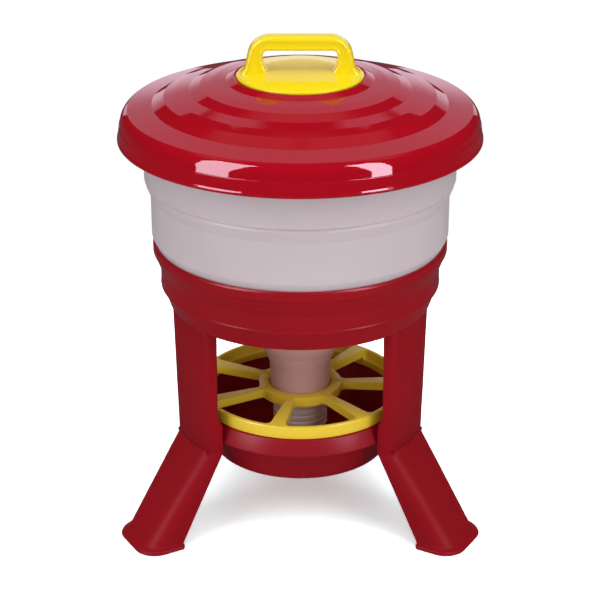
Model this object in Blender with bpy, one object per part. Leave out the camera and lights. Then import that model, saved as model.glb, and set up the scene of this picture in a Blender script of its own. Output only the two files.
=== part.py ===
# Poultry hopper feeder on three splayed legs
#
# A lidded tub narrows to a feed tube that ends over a round pan. Three legs carry the
# tub's collar and the pan, and a spoked grid over the pan keeps birds from scratching
# the feed out. A sleeve in the feed tube sets how much feed falls.
# Lengths are in metres, +Z is up, and the feeder stands on the plane z = 0.

import bpy
import bmesh
from math import asin, copysign, cos, pi, radians, sin, tan, tau
from mathutils import Matrix, Vector

# Facets of the turned pieces
facets = 36
screw_facets = 8
corner_steps = 3

# Fits between pieces
seat_gap = 0.0003          # pieces that touch
running_gap = 0.0008       # the grid's hub around the feed tube
centring_gap = 0.001       # ribs and lips that only centre a piece
overrun = 0.002            # cutting shapes run this far past what they cut
join_depth = 0.0006        # webs and shelves sink this far into the wall beside them
weld_distance = 0.00001    # points closer than this are one point

# Legs
foot_height = 0.118        # knee between upright and splayed foot
upright_height = 0.1563    # from the knee to the collar
leg_lean = 0.0039          # the uprights lean in by this much down to the knee
leg_half_width = 0.044
knee_half_width = 0.0413
sole_half_width = 0.038
leg_wall = 0.0034
leg_corner_radius = 0.005
leg_depth = 0.0143         # of the upright's channel
foot_depth = 0.022         # of the foot's channel at the knee
sole_reach = 0.080         # the foot's wall runs this far out from knee to floor
sole_depth = 0.046         # of the foot's channel at the floor
sole_corner_radius = 0.023
sole_flange = 0.005        # floor flange stands this far out of the foot's wall
sole_flange_thickness = 0.003
foot_web = 0.0037
foot_tongue_half_width = 0.018
foot_tongue_height = 0.054
tongue_wall = 0.0027
upright_tongue_margin = 0.0066     # beyond the middles of its screws
upright_tongue_height = 0.042
upright_tongue_root = 0.012
shelf_thickness = 0.003
shelf_setback = 0.001
leg_facet_share = 0.25

# Collar
collar_base_radius = 0.1549
collar_lower_flare = 0.0096
collar_upper_flare = 0.0083
collar_lower_cone = 0.0242
collar_waist = 0.0209
collar_upper_cone = 0.0204
collar_rim = 0.0118
collar_wall = 0.0026
collar_ledge_depth = 0.0096    # the tub's seat lies this far below the collar's top
collar_boss_radius = 0.005

# Tub, funnel and feed tube
tub_height = 0.1571        # above the collar
tub_wall = 0.0022
tub_overhang = 0.0008      # the tub is this much wider than the collar
tub_belt_step = 0.007      # the belt under the lid is this much wider again
tub_belt_height = 0.0751   # the belt begins this far above the collar
tub_step = 0.0167
tub_taper = 0.0094
tub_flange_width = 0.0074
tub_flange_thickness = 0.0026
funnel_lip = 0.004         # flat seat around the funnel's mouth, as wide as the collar's ledge
funnel_foot_radius = 0.045
tube_radius = 0.037
tube_wall = 0.002
tube_height = 0.063        # from the tube's end to the funnel
tube_drop = 0.003          # the tube ends this far below the pan's rim
tube_lip = 0.0017
tube_lip_height = 0.009
tube_flare_height = 0.017

# Flow regulator
regulator_wall = 0.002
feed_gap = 0.0213          # between the pan's floor and the sleeve
regulator_bead = 0.0013
regulator_bead_height = 0.003
regulator_groove_pitch = 0.008
regulator_groove_width = 0.003
regulator_groove_depth = 0.001
regulator_grooves = 4

# Pan, cone and grid
pan_rise = 0.027           # the pan's rim lies this far above the knee
pan_depth = 0.0629
pan_wall = 0.0026
pan_draft = 0.015          # the bowl narrows by this much down to its base
pan_rim_width = 0.0058
pan_skirt_flare = 0.0077
pan_skirt_drop = 0.0185
pan_skirt_gap = 0.0018     # between the pan's skirt and the legs
pan_foot_rounding = 0.003
lug_half_width = 0.024
lug_height = 0.0145
lug_drop = 0.0015
cone_radius = 0.052
cone_height = 0.032
cone_tip_radius = 0.006
cone_edge = 0.0015
cone_wall = 0.0024
cone_boss_radius = 0.005
grid_setback = 0.0022      # the grid is this much smaller than the pan's rim
grid_height = 0.0151
grid_rim_wall = 0.0046
grid_lip_wall = 0.0025
grid_lip_drop = 0.006
grid_lip_ledge = 0.0026
grid_spokes = 7
grid_turn = radians(-12.9)     # the first spoke, counted from the front
spoke_depth = 0.010
spoke_hub_width = 0.009
spoke_rim_width = 0.018
hub_radius = 0.050
hub_depth = 0.012
hub_wall = 0.0026
cell_inner_corner = 0.006
cell_outer_corner = 0.008

# Lid and handle
lid_overhang = 0.0302
lid_height = 0.072
lid_wall = 0.0024
lid_recess = 0.002
lid_rib_depth = 0.012
lid_rib_wall = 0.002
# Each point is a share of the lid's radius and a share of its height, from the rim up
lid_outline_shares = (
    (1.0, 0.0), (0.986, 0.274), (0.977, 0.375), (0.962, 0.44), (0.94, 0.482),
    (0.805, 0.556), (0.71, 0.689), (0.61, 0.764), (0.543, 0.84), (0.41, 0.93), (0.355, 1.0),
)
cap_gap = 0.0005
cap_edge = 0.0024
cap_crown = 0.005
handle_height = 0.0513
handle_setback = 0.0133     # between the grip's end and the cap's edge
handle_post_width = 0.0187
handle_window_height = 0.0327
handle_depth = 0.021
handle_corner_radius = 0.024
handle_window_corner = 0.009
handle_rounding = 0.003
handle_foot_flare = 0.004
handle_foot_rise = 0.008

# Fasteners
screw_radius = 0.00175
screw_head_radius = 0.004
screw_head_height = 0.0026
collar_screw_length = 0.013
foot_screw_length = 0.0052
pan_screw_length = 0.014
cone_screw_length = 0.016
handle_screw_length = 0.022
washer_radius = 0.006
washer_thickness = 0.001

# Places worked out from the sizes above
leg_turns = {"rear": 0.0, "left": tau / 3, "right": -tau / 3}
knee_radius = collar_base_radius - leg_lean
leg_inner_edge = knee_radius - leg_depth
knee_inner_edge = knee_radius - foot_depth
sole_front = knee_radius + sole_reach
sole_inner_edge = sole_front - sole_depth
stand_height = foot_height + upright_height
collar_waist_radius = collar_base_radius + collar_lower_flare
collar_rim_radius = collar_waist_radius + collar_upper_flare
collar_top = stand_height + collar_lower_cone + collar_waist + collar_upper_cone + collar_rim
tub_seat = collar_top - collar_ledge_depth + seat_gap
tub_radius = collar_rim_radius + tub_overhang
tub_belt_radius = tub_radius + tub_belt_step
tub_flange_radius = tub_belt_radius + tub_flange_width
tub_belt_base = collar_top + tub_belt_height
tub_top = collar_top + tub_height
tub_lower_radius = collar_rim_radius - 0.5 * (collar_rim_radius - collar_waist_radius) + seat_gap
collar_bore = tub_lower_radius + seat_gap
pan_rim_height = foot_height + pan_rise
pan_base = pan_rim_height - pan_depth
pan_floor = pan_base + pan_wall
pan_skirt_radius = leg_inner_edge - pan_skirt_gap
pan_rim_radius = pan_skirt_radius - pan_skirt_flare
pan_mouth_radius = pan_rim_radius - pan_rim_width
pan_base_radius = pan_mouth_radius - pan_draft
pan_slope = (pan_mouth_radius + pan_wall - pan_base_radius) / pan_depth
grid_base = pan_rim_height + seat_gap
grid_radius = pan_rim_radius - grid_setback
hub_bore = tube_radius + running_gap
tube_end = pan_rim_height - tube_drop
tube_bore = tube_radius - tube_wall
funnel_foot_height = tube_end + tube_height
regulator_mouth = pan_floor + feed_gap
sleeve_radius = tube_bore - tube_lip - seat_gap
screw_hole = screw_radius + seat_gap
lid_radius = tub_belt_radius + lid_overhang
feeder_offset = -0.5 * (sole_front + sole_flange - lid_radius * cos(pi / facets))


# Materials

def linear(channel):
    """A display colour channel from 0 to 255 as a linear value."""
    share = channel / 255
    return share / 12.92 if share <= 0.04045 else ((share + 0.055) / 1.055) ** 2.4


def plastic(name, red, green, blue, roughness, metallic=0.0):
    material = bpy.data.materials.new(name)
    material.use_nodes = True
    shader = material.node_tree.nodes["Principled BSDF"]
    shader.inputs["Base Color"].default_value = (linear(red), linear(green), linear(blue), 1)
    shader.inputs["Roughness"].default_value = roughness
    shader.inputs["Metallic"].default_value = metallic
    return material


# Outlines

def flat(radius):
    """Distance from the axis to the middle of a turned piece's flat facet."""
    return radius * cos(pi / facets)


def facet_radius(radius, angle):
    """Distance from the axis to a turned piece's surface at this angle from a facet's middle."""
    step = tau / facets
    return flat(radius) / cos((angle + step / 2) % step - step / 2)


def facet_arc(radius, half_width, least_share=0.02):
    """Points across +Y on a turned surface, whose middle is a facet's middle.

    A facet shorter than the least share of a whole one is left to its neighbour.
    """
    end = asin(half_width / radius)
    step = tau / facets
    count = int(end / step + 0.5 - least_share)
    angles = [-end] + [step * (k + 0.5) for k in range(-count, count)] + [end]
    return [Vector((sin(a), cos(a))) * facet_radius(radius, a) for a in angles]


def fillet(before, corner, after, radius, steps=corner_steps):
    """Points of an arc that rounds the corner between two straight runs."""
    back = (before - corner).normalized()
    ahead = (after - corner).normalized()
    half = back.angle(ahead) / 2
    reach = min(radius / tan(half), (before - corner).length * 0.95, (after - corner).length * 0.95)
    radius = reach * tan(half)
    centre = corner + (back + ahead).normalized() * (radius / sin(half))
    start = corner + back * reach - centre
    sweep = start.angle_signed(corner + ahead * reach - centre)
    points = []
    for k in range(steps + 1):
        points.append(centre + start @ Matrix.Rotation(sweep * k / steps, 2))
    return points


def rounded(points, radii):
    """A closed outline whose corners with a radius above zero are rounded."""
    outline = []
    for k, (corner, radius) in enumerate(zip(points, radii)):
        if radius > 0:
            outline += fillet(points[k - 1], corner, points[(k + 1) % len(points)], radius)
        else:
            outline.append(corner)
    return outline


def inset(points, wall):
    """An open outline moved sideways by the wall, to its right along its run."""
    moved = []
    for k, point in enumerate(points):
        runs = []
        if k > 0:
            runs.append((point - points[k - 1]).normalized())
        if k < len(points) - 1:
            runs.append((points[k + 1] - point).normalized())
        sides = [Vector((run.y, -run.x)) for run in runs]
        middle = sum(sides, Vector((0, 0))).normalized()
        moved.append(point + middle * (wall / middle.dot(sides[0])))
    return moved


def height_at(points, radius):
    """Height of an outline that runs inwards, where it crosses this radius."""
    for outer, inner in zip(points, points[1:]):
        if inner.x <= radius <= outer.x and outer.x > inner.x:
            return outer.y + (inner.y - outer.y) * (outer.x - radius) / (outer.x - inner.x)
    return points[-1].y


# Solids

def new_object(name, shape, material=None):
    """Makes an object of a bmesh shape, shaded smooth except at its edges."""
    bmesh.ops.remove_doubles(shape, verts=shape.verts, dist=weld_distance)
    bmesh.ops.recalc_face_normals(shape, faces=shape.faces)
    mesh = bpy.data.meshes.new(name)
    shape.to_mesh(mesh)
    shape.free()
    mesh.shade_smooth()
    mesh.set_sharp_from_angle(angle=radians(35))
    item = bpy.data.objects.new(name, mesh)
    bpy.context.scene.collection.objects.link(item)
    if material:
        mesh.materials.append(material)
    return item


def turned_shape(outline, steps=facets):
    """A closed outline of radius and height points spun about the Z axis."""
    shape = bmesh.new()
    points = [shape.verts.new((p[0], 0, p[1])) for p in outline]
    edges = []
    for k, point in enumerate(points):
        previous = points[k - 1]
        if previous.co.x > 0 or point.co.x > 0:
            edges.append(shape.edges.new((previous, point)))
    bmesh.ops.spin(shape, geom=points + edges, cent=(0, 0, 0), axis=(0, 0, 1), angle=tau, steps=steps)
    bmesh.ops.rotate(shape, verts=shape.verts, cent=(0, 0, 0), matrix=Matrix.Rotation(pi / steps, 3, 'Z'))
    return shape


def turned(name, outline, material=None, steps=facets):
    return new_object(name, turned_shape(outline, steps), material)


def lofted(name, sections, material=None):
    """A solid through closed sections of (outline, height), each with as many points."""
    shape = bmesh.new()
    loops = [[shape.verts.new((p.x, p.y, height)) for p in outline] for outline, height in sections]
    for low, high in zip(loops, loops[1:]):
        for k in range(len(low)):
            shape.faces.new((low[k - 1], low[k], high[k], high[k - 1]))
    shape.faces.new(loops[0])
    shape.faces.new(loops[-1])
    return new_object(name, shape, material)


def block(name, half_width, near, far, low, high):
    """A box across the leg's middle, from one distance from the axis to another."""
    corners = [Vector((x, y)) for x, y in
               ((-half_width, near), (half_width, near), (half_width, far), (-half_width, far))]
    return lofted(name, [(corners, low), (corners, high)])


def rods(name, places, radius, steps=screw_facets):
    """Round bars along each place's own +Z, given as (matrix, start, end)."""
    shape = bmesh.new()
    for place, start, end in places:
        middle = Matrix.Translation((0, 0, 0.5 * (start + end)))
        bmesh.ops.create_cone(shape, cap_ends=True, segments=steps, radius1=radius, radius2=radius,
                              depth=end - start, matrix=place @ middle)
    return new_object(name, shape)


def combine(target, tool, operation):
    """Joins the tool to the target or cuts it out, and removes the tool."""
    step = target.modifiers.new(operation.lower(), 'BOOLEAN')
    step.operation = operation
    step.object = tool
    bpy.context.view_layer.update()
    view = bpy.context.evaluated_depsgraph_get()
    mesh = bpy.data.meshes.new_from_object(target.evaluated_get(view))
    target.modifiers.clear()
    target.data = mesh
    bpy.data.objects.remove(tool)


def radial(turn, height):
    """A place on the axis at this height whose +Z points outwards along a leg's +Y."""
    lying = Matrix.Translation((0, 0, height)) @ Matrix.Rotation(-pi / 2, 4, 'X')
    return Matrix.Rotation(turn, 4, 'Z') @ lying


def upright_place(turn, distance, height, side=0.0):
    """A place out along a leg whose +Z points up."""
    return Matrix.Rotation(turn, 4, 'Z') @ Matrix.Translation((side, distance, height))


# Legs

def leg_half(height):
    """The upright's half width at this height."""
    share = (height - foot_height) / (stand_height - foot_height)
    return knee_half_width + (leg_half_width - knee_half_width) * share


def leg_radius(height):
    """Distance from the axis to the upright's outer face at this height."""
    share = (height - foot_height) / (stand_height - foot_height)
    return knee_radius + (collar_base_radius - knee_radius) * share


def inner_face(front, wall):
    """The face this far inside a channel's outer face, between its side walls."""
    inside = inset(front, wall)
    for end, neighbour, side in ((0, 1, 1), (-1, -2, -1)):
        run = inside[end] - inside[neighbour]
        reach = front[end].x + side * wall - inside[neighbour].x
        inside[end] = inside[neighbour] + run * (reach / run.x)
    return inside


def channel(front, corner_radius, inner_edge, wall):
    """A U-shaped section, open towards the axis; front holds the outer face's points."""
    inside = inner_face(front, wall)
    sides = []
    for face, radius in ((front, corner_radius), (inside, max(corner_radius - wall, join_depth))):
        left = Vector((face[0].x, inner_edge))
        right = Vector((face[-1].x, inner_edge))
        side = [left] + fillet(left, face[0], face[1], radius) + face[1:-1]
        side += fillet(face[-2], face[-1], right, radius) + [right]
        sides.append(side)
    return sides[0] + sides[1][::-1]


def upright_section(height):
    front = facet_arc(leg_radius(height), leg_half(height), leg_facet_share)
    return channel(front, leg_corner_radius, leg_inner_edge, leg_wall)


def foot_front(height, flange=0.0):
    """The splayed foot's outer face between the floor and the knee."""
    knee = facet_arc(knee_radius, knee_half_width, leg_facet_share)
    flat_half = sole_half_width - sole_corner_radius
    front = []
    for point in knee:
        at_end = point in (knee[0], knee[-1])
        across = sole_half_width + flange if at_end else flat_half * abs(point.x) / knee[-2].x
        floor = Vector((copysign(across, point.x), sole_front + flange))
        front.append(floor.lerp(point, height / foot_height))
    return front


def foot_section(height, flange=0.0):
    share = height / foot_height
    corner = (sole_corner_radius + flange) * (1 - share) + leg_corner_radius * share
    inner_edge = sole_inner_edge + (knee_inner_edge - sole_inner_edge) * share
    return channel(foot_front(height, flange), corner, inner_edge, leg_wall + flange)


def web_section(height):
    """The web that closes the foot's channel under the knee."""
    face = inner_face(foot_front(height), leg_wall - join_depth)
    back = knee_inner_edge + shelf_setback
    return [Vector((face[0].x, back))] + face + [Vector((face[-1].x, back))]


def arc_plate(radius_at, half_width, wall, low, high):
    """Sections of a curved plate across +Y whose outer radius follows the height."""
    sections = []
    for height in (low, high):
        outer = facet_arc(radius_at(height), half_width)
        inner = facet_arc(radius_at(height) - wall, half_width)
        sections.append((outer + inner[::-1], height))
    return sections


foot_tongue_top = foot_height + foot_tongue_height
upright_tongue_radius = collar_base_radius - collar_wall - seat_gap


def foot_tongue_radius(height):
    return leg_radius(height) - leg_wall - seat_gap


# The shelf and the pan's lugs end just inside the foot's tongue
shelf_end = facet_arc(foot_tongue_radius(foot_height) - tongue_wall, foot_tongue_half_width)[-1].y - seat_gap
lug_top = pan_rim_height - lug_drop
lug_base = lug_top - lug_height
shelf_top = lug_base - seat_gap
shelf_base = shelf_top - shelf_thickness
shelf_start = leg_inner_edge + shelf_setback
pan_screw_distance = 0.5 * (shelf_start + shelf_end)
foot_screw_height = 0.5 * (lug_top + foot_tongue_top)
collar_screw_height = stand_height + collar_lower_cone + 0.5 * collar_waist
collar_screw_turn = tau / facets
upright_tongue_half_width = upright_tongue_radius * sin(collar_screw_turn) + upright_tongue_margin


def upright_solid(material):
    top = stand_height - seat_gap
    upright = lofted("upright", [(upright_section(foot_height), foot_height),
                                 (upright_section(top), top)], material)
    tongue = arc_plate(lambda height: upright_tongue_radius, upright_tongue_half_width, tongue_wall,
                       stand_height - upright_tongue_root, stand_height + upright_tongue_height)
    combine(upright, lofted("tongue", tongue), 'UNION')
    half = leg_half(shelf_base) - leg_wall + join_depth
    combine(upright, block("shelf", half, shelf_start, shelf_end, shelf_base, shelf_top), 'UNION')
    blind_end = flat(foot_tongue_radius(foot_screw_height) - tongue_wall) + foot_screw_length
    holes = [(radial(0.0, foot_screw_height), shelf_end, blind_end),
             (upright_place(0.0, pan_screw_distance, 0.0), shelf_base - overrun, shelf_top + overrun)]
    for side in (-1, 1):
        holes.append((radial(side * collar_screw_turn, collar_screw_height),
                      upright_tongue_radius - tongue_wall - overrun, upright_tongue_radius + overrun))
    combine(upright, rods("holes", holes, screw_hole), 'DIFFERENCE')
    return upright


def foot_solid(material):
    top = foot_height - seat_gap
    middle = 0.5 * sole_flange_thickness
    foot = lofted("foot", [(foot_section(middle), middle), (foot_section(top), top)], material)
    flange = foot_section(0.0, sole_flange)
    combine(foot, lofted("flange", [(flange, 0.0), (flange, sole_flange_thickness)]), 'UNION')
    web_base = top - foot_web
    web = lofted("web", [(web_section(web_base), web_base), (web_section(top), top)])
    combine(foot, web, 'UNION')
    tongue = arc_plate(foot_tongue_radius, foot_tongue_half_width, tongue_wall,
                       0.5 * (web_base + top), foot_tongue_top)
    combine(foot, lofted("tongue", tongue), 'UNION')
    hole = [(radial(0.0, foot_screw_height), shelf_end - overrun, knee_radius + overrun)]
    combine(foot, rods("hole", hole, screw_hole), 'DIFFERENCE')
    return foot


# Collar, pan and grid

def collar_solid(material):
    waist_low = stand_height + collar_lower_cone
    waist_high = waist_low + collar_waist
    rim_low = waist_high + collar_upper_cone
    ledge = collar_top - collar_ledge_depth
    bore = collar_bore
    ledge_radius = bore - funnel_lip
    chamfer = 0.5 * collar_wall
    outline = [
        (collar_base_radius, stand_height), (collar_waist_radius, waist_low),
        (collar_waist_radius, waist_high), (collar_rim_radius, rim_low),
        (collar_rim_radius, collar_top - chamfer), (collar_rim_radius - chamfer, collar_top),
        (bore, collar_top), (bore, ledge), (ledge_radius, ledge), (ledge_radius, ledge - collar_wall),
        (bore - collar_wall, ledge - 2 * collar_wall),
        (collar_waist_radius - collar_wall, waist_high), (collar_waist_radius - collar_wall, waist_low),
        (collar_base_radius - collar_wall, stand_height),
    ]
    collar = turned("stand_collar", outline, material)
    wall_middle = flat(collar_waist_radius) - 0.5 * collar_wall
    bosses, holes = [], []
    for turn in leg_turns.values():
        for side in (-1, 1):
            place = radial(turn + side * collar_screw_turn, collar_screw_height)
            start = flat(upright_tongue_radius) + seat_gap
            bosses.append((place, start, wall_middle))
            holes.append((place, start - overrun, start + collar_screw_length - tongue_wall))
    combine(collar, rods("bosses", bosses, collar_boss_radius), 'UNION')
    combine(collar, rods("holes", holes, screw_hole), 'DIFFERENCE')
    return collar


def pan_solid(material):
    skirt_base = pan_rim_height - pan_skirt_drop
    outer_mouth = pan_mouth_radius + pan_wall
    rounding = pan_foot_rounding
    chamfer = 0.5 * rounding
    base_inside = pan_base_radius - pan_wall
    outline = [
        (screw_hole, pan_base), (pan_base_radius - rounding, pan_base),
        (pan_base_radius + pan_slope * rounding, pan_base + rounding),
        (outer_mouth, pan_rim_height - pan_wall),
        (pan_skirt_radius - pan_wall, skirt_base), (pan_skirt_radius, skirt_base),
        (pan_rim_radius, pan_rim_height - chamfer), (pan_rim_radius - chamfer, pan_rim_height),
        (pan_mouth_radius, pan_rim_height),
        (base_inside + pan_slope * rounding, pan_floor + rounding), (base_inside - rounding, pan_floor),
        (screw_hole, pan_floor),
    ]
    pan = turned("feed_pan", outline, material)
    for turn in leg_turns.values():
        lug = block("lug", lug_half_width, pan_mouth_radius + join_depth, shelf_end, lug_base, lug_top)
        lug.matrix_world = Matrix.Rotation(turn, 4, 'Z')
        combine(pan, lug, 'UNION')
    holes = []
    for turn in leg_turns.values():
        place = upright_place(turn, pan_screw_distance, 0.0)
        holes.append((place, lug_base - overrun, shelf_base + pan_screw_length + seat_gap))
    combine(pan, rods("holes", holes, screw_hole), 'DIFFERENCE')
    return pan


def cone_solid(material):
    """The cone that spreads the feed, hollow under its shell, with a boss for its screw."""
    tip = cone_tip_radius
    hollow_top = cone_height - 2 * cone_wall - tip * 0.5
    depth = cone_screw_length - pan_wall
    outline = [
        (0, cone_height), (0.7 * tip, cone_height - 0.2 * tip), (cone_radius, cone_edge), (cone_radius, 0),
        (cone_radius - cone_wall, 0), (cone_boss_radius + cone_wall, hollow_top),
        (cone_boss_radius, hollow_top), (cone_boss_radius, 0),
        (screw_hole, 0), (screw_hole, depth), (0, depth),
    ]
    cone = turned("feed_cone", outline, material)
    cone.location.z = pan_floor + seat_gap
    return cone


def cell_outline(middle):
    """One opening between two spokes, with rounded corners; middle is its angle."""
    half_pitch = pi / grid_spokes
    outer_radius = grid_radius - grid_rim_wall
    inner_end = half_pitch - asin(0.5 * spoke_hub_width / hub_radius)
    outer_end = half_pitch - asin(0.5 * spoke_rim_width / outer_radius)
    points, radii = [], []
    for share in (-1, 0, 1):
        angle = middle + share * inner_end
        points.append(Vector((sin(angle), -cos(angle))) * hub_radius)
        radii.append(cell_inner_corner if share else 0)
    for share in (1, 0.5, 0, -0.5, -1):
        angle = middle + share * outer_end
        points.append(Vector((sin(angle), -cos(angle))) * outer_radius)
        radii.append(cell_outer_corner if abs(share) == 1 else 0)
    return rounded(points, radii)


def grid_solid(material):
    lip_outer = pan_mouth_radius - pan_slope * grid_lip_drop - centring_gap
    lip_inner = lip_outer - grid_lip_wall
    web_base = grid_height - spoke_depth
    hub_base = grid_height - hub_depth
    hub_roof = grid_height - hub_wall
    outline = [
        (hub_bore, grid_height), (hub_bore, hub_base), (hub_bore + hub_wall, hub_base),
        (hub_bore + hub_wall, hub_roof), (hub_radius - hub_wall, hub_roof),
        (hub_radius - hub_wall, hub_base), (hub_radius, hub_base), (hub_radius, web_base),
        (lip_inner, web_base), (lip_inner, -grid_lip_drop), (lip_outer, -grid_lip_drop),
        (lip_outer, 0), (grid_radius, 0), (grid_radius, grid_height),
    ]
    grid = turned("feeding_grid", outline, material)
    for k in range(grid_spokes):
        outline = cell_outline(grid_turn + (k + 0.5) * tau / grid_spokes)
        cell = lofted("cell", [(outline, grid_lip_ledge), (outline, grid_height + overrun)])
        combine(grid, cell, 'DIFFERENCE')
    grid.location.z = grid_base
    return grid


# Tub, regulator, lid and handle

def tub_solid(material):
    """The tub with its funnel and feed tube, open at both ends."""
    outer = [Vector(p) for p in (
        (tub_belt_radius, tub_top), (tub_belt_radius, tub_belt_base),
        (tub_radius, tub_belt_base - tub_step), (tub_radius, collar_top + tub_taper),
        (tub_lower_radius, collar_top), (tub_lower_radius, tub_seat),
        (tub_lower_radius - funnel_lip, tub_seat), (funnel_foot_radius, funnel_foot_height),
        (tube_radius + 0.3 * (funnel_foot_radius - tube_radius),
         funnel_foot_height - 0.5 * tube_flare_height),
        (tube_radius, funnel_foot_height - tube_flare_height), (tube_radius, tube_end),
    )]
    walls = inset(outer[:6], tub_wall) + inset(outer[6:], tube_wall)
    lip = tube_bore - tube_lip
    lip_top = tube_end + tube_lip_height
    inner = [p for k, p in enumerate(walls[:-1]) if k != 5]
    inner += [Vector((tube_bore, lip_top)), Vector((lip, lip_top)), Vector((lip, tube_end))]
    flange = [Vector((tub_flange_radius, tub_top)),
              Vector((tub_flange_radius, tub_top - tub_flange_thickness)),
              Vector((tub_belt_radius, tub_top - tub_flange_thickness))]
    return turned("hopper_tub", flange + outer[1:] + inner[::-1], material)


def regulator_solid(material):
    """A sleeve with ring grooves that slides in the feed tube and hangs on its lip."""
    radius = sleeve_radius
    bead_base = tube_end + tube_lip_height + seat_gap - regulator_mouth
    bead_top = bead_base + regulator_bead_height
    outline = [(radius, 0)]
    for k in range(regulator_grooves):
        low = regulator_groove_pitch * (k + 0.5)
        high = low + regulator_groove_width
        deep = radius - regulator_groove_depth
        lead = 0.5 * regulator_groove_depth
        outline += [(radius, low), (deep, low + lead), (deep, high - lead), (radius, high)]
    bead = radius + regulator_bead
    outline += [(radius, bead_base), (bead, bead_base), (bead, bead_top - 0.5 * regulator_bead_height),
                (radius, bead_top), (radius - regulator_wall, bead_top), (radius - regulator_wall, 0)]
    sleeve = turned("flow_regulator", outline, material)
    sleeve.location.z = regulator_mouth
    return sleeve


lid_outline = [Vector((lid_radius * x, lid_height * y)) for x, y in lid_outline_shares]
lid_plateau = lid_height - lid_recess
lid_recess_radius = lid_outline[-1].x - cap_gap
lid_outer = lid_outline + [Vector((lid_recess_radius, lid_plateau)), Vector((0, lid_plateau))]
lid_inner = inset([Vector((p.x, p.y)) for p in lid_outer[::-1]], lid_wall)[::-1]
lid_inner[-1].x = 0
lid_inner[0] = Vector((lid_radius - lid_wall, 0))
lid_base = tub_top + seat_gap - height_at(lid_inner, tub_flange_radius)
cap_base = lid_base + lid_plateau + seat_gap
cap_radius = lid_recess_radius - cap_gap
handle_half_width = cap_radius - handle_setback
handle_window_half_width = handle_half_width - handle_post_width
handle_screw_side = 0.5 * (handle_half_width + handle_window_half_width)
lid_ceiling = lid_base + lid_plateau - lid_wall
washer_base = lid_ceiling - seat_gap - washer_thickness
handle_screw_base = washer_base - seat_gap


def lid_solid(material):
    """The stepped lid, with a ring under it that centres it in the tub."""
    lid = turned("lid_shell", lid_outer + lid_inner[::-1], material)
    rib_outer = tub_belt_radius - tub_wall - centring_gap
    rib_inner = rib_outer - lid_rib_wall
    rib_top = height_at(lid_inner, rib_outer) + 0.5 * lid_wall
    rib_base = rib_top - lid_rib_depth
    rib = turned("rib", [
        (rib_outer, rib_base), (rib_outer, rib_top), (rib_inner, rib_top), (rib_inner, rib_base)])
    combine(lid, rib, 'UNION')
    holes = []
    for side in (-1, 1):
        place = Matrix.Translation((side * handle_screw_side, 0, lid_plateau))
        holes.append((place, -lid_wall - overrun, overrun))
    combine(lid, rods("holes", holes, screw_hole), 'DIFFERENCE')
    lid.location.z = lid_base
    return lid


def handle_solid(material):
    """The round cap with the grip that rises from it."""
    cap = turned("lid_handle", [
        (0, 0), (cap_radius, 0), (cap_radius, cap_edge), (cap_radius - 0.5 * cap_edge, 1.3 * cap_edge),
        (0.6 * cap_radius, 0.93 * cap_crown), (0, cap_crown)], material)
    out = handle_half_width
    inside = handle_window_half_width
    flare = handle_foot_flare
    rise = handle_foot_rise
    root = 0.5 * cap_edge
    points = [(-out - flare, root), (-out, rise), (-out, handle_height), (out, handle_height), (out, rise),
              (out + flare, root), (inside - flare, root), (inside, rise), (inside, handle_window_height),
              (-inside, handle_window_height), (-inside, rise), (-inside + flare, root)]
    radii = [0, 0, handle_corner_radius, handle_corner_radius, 0, 0,
             0, 0, handle_window_corner, handle_window_corner, 0, 0]
    outline = rounded([Vector(p) for p in points], radii)
    half = 0.5 * handle_depth
    grip = lofted("grip", [(outline, -half), (outline, half)])
    grip.data.transform(Matrix.Rotation(pi / 2, 4, 'X'))
    edges = grip.modifiers.new("rounding", 'BEVEL')
    edges.width = handle_rounding
    edges.segments = 2
    edges.limit_method = 'ANGLE'
    edges.angle_limit = radians(60)
    combine(cap, grip, 'UNION')
    holes = []
    for side in (-1, 1):
        place = Matrix.Translation((side * handle_screw_side, 0, handle_screw_base - cap_base))
        holes.append((place, 0.5 * (lid_ceiling - cap_base), handle_screw_length + seat_gap))
    combine(cap, rods("holes", holes, screw_hole), 'DIFFERENCE')
    cap.location.z = cap_base
    return cap


# Fasteners

def screw_outline(length):
    head = screw_head_radius
    tall = screw_head_height
    thin = screw_radius
    return [(0, -tall), (0.7 * head, -tall), (head, -0.45 * tall), (head, 0), (thin, 0),
            (thin, length - thin), (0.3 * thin, length), (0, length)]


def fastened(name, outline, places, material):
    """Equal turned pieces that share one mesh, one object at each named place."""
    first = turned(name, outline, material, screw_facets)
    mesh = first.data
    bpy.data.objects.remove(first)
    pieces = []
    for label, place in places.items():
        piece = bpy.data.objects.new(f"{name}_{label}" if label else name, mesh)
        bpy.context.scene.collection.objects.link(piece)
        piece.matrix_basis = place
        pieces.append(piece)
    return pieces


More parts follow.
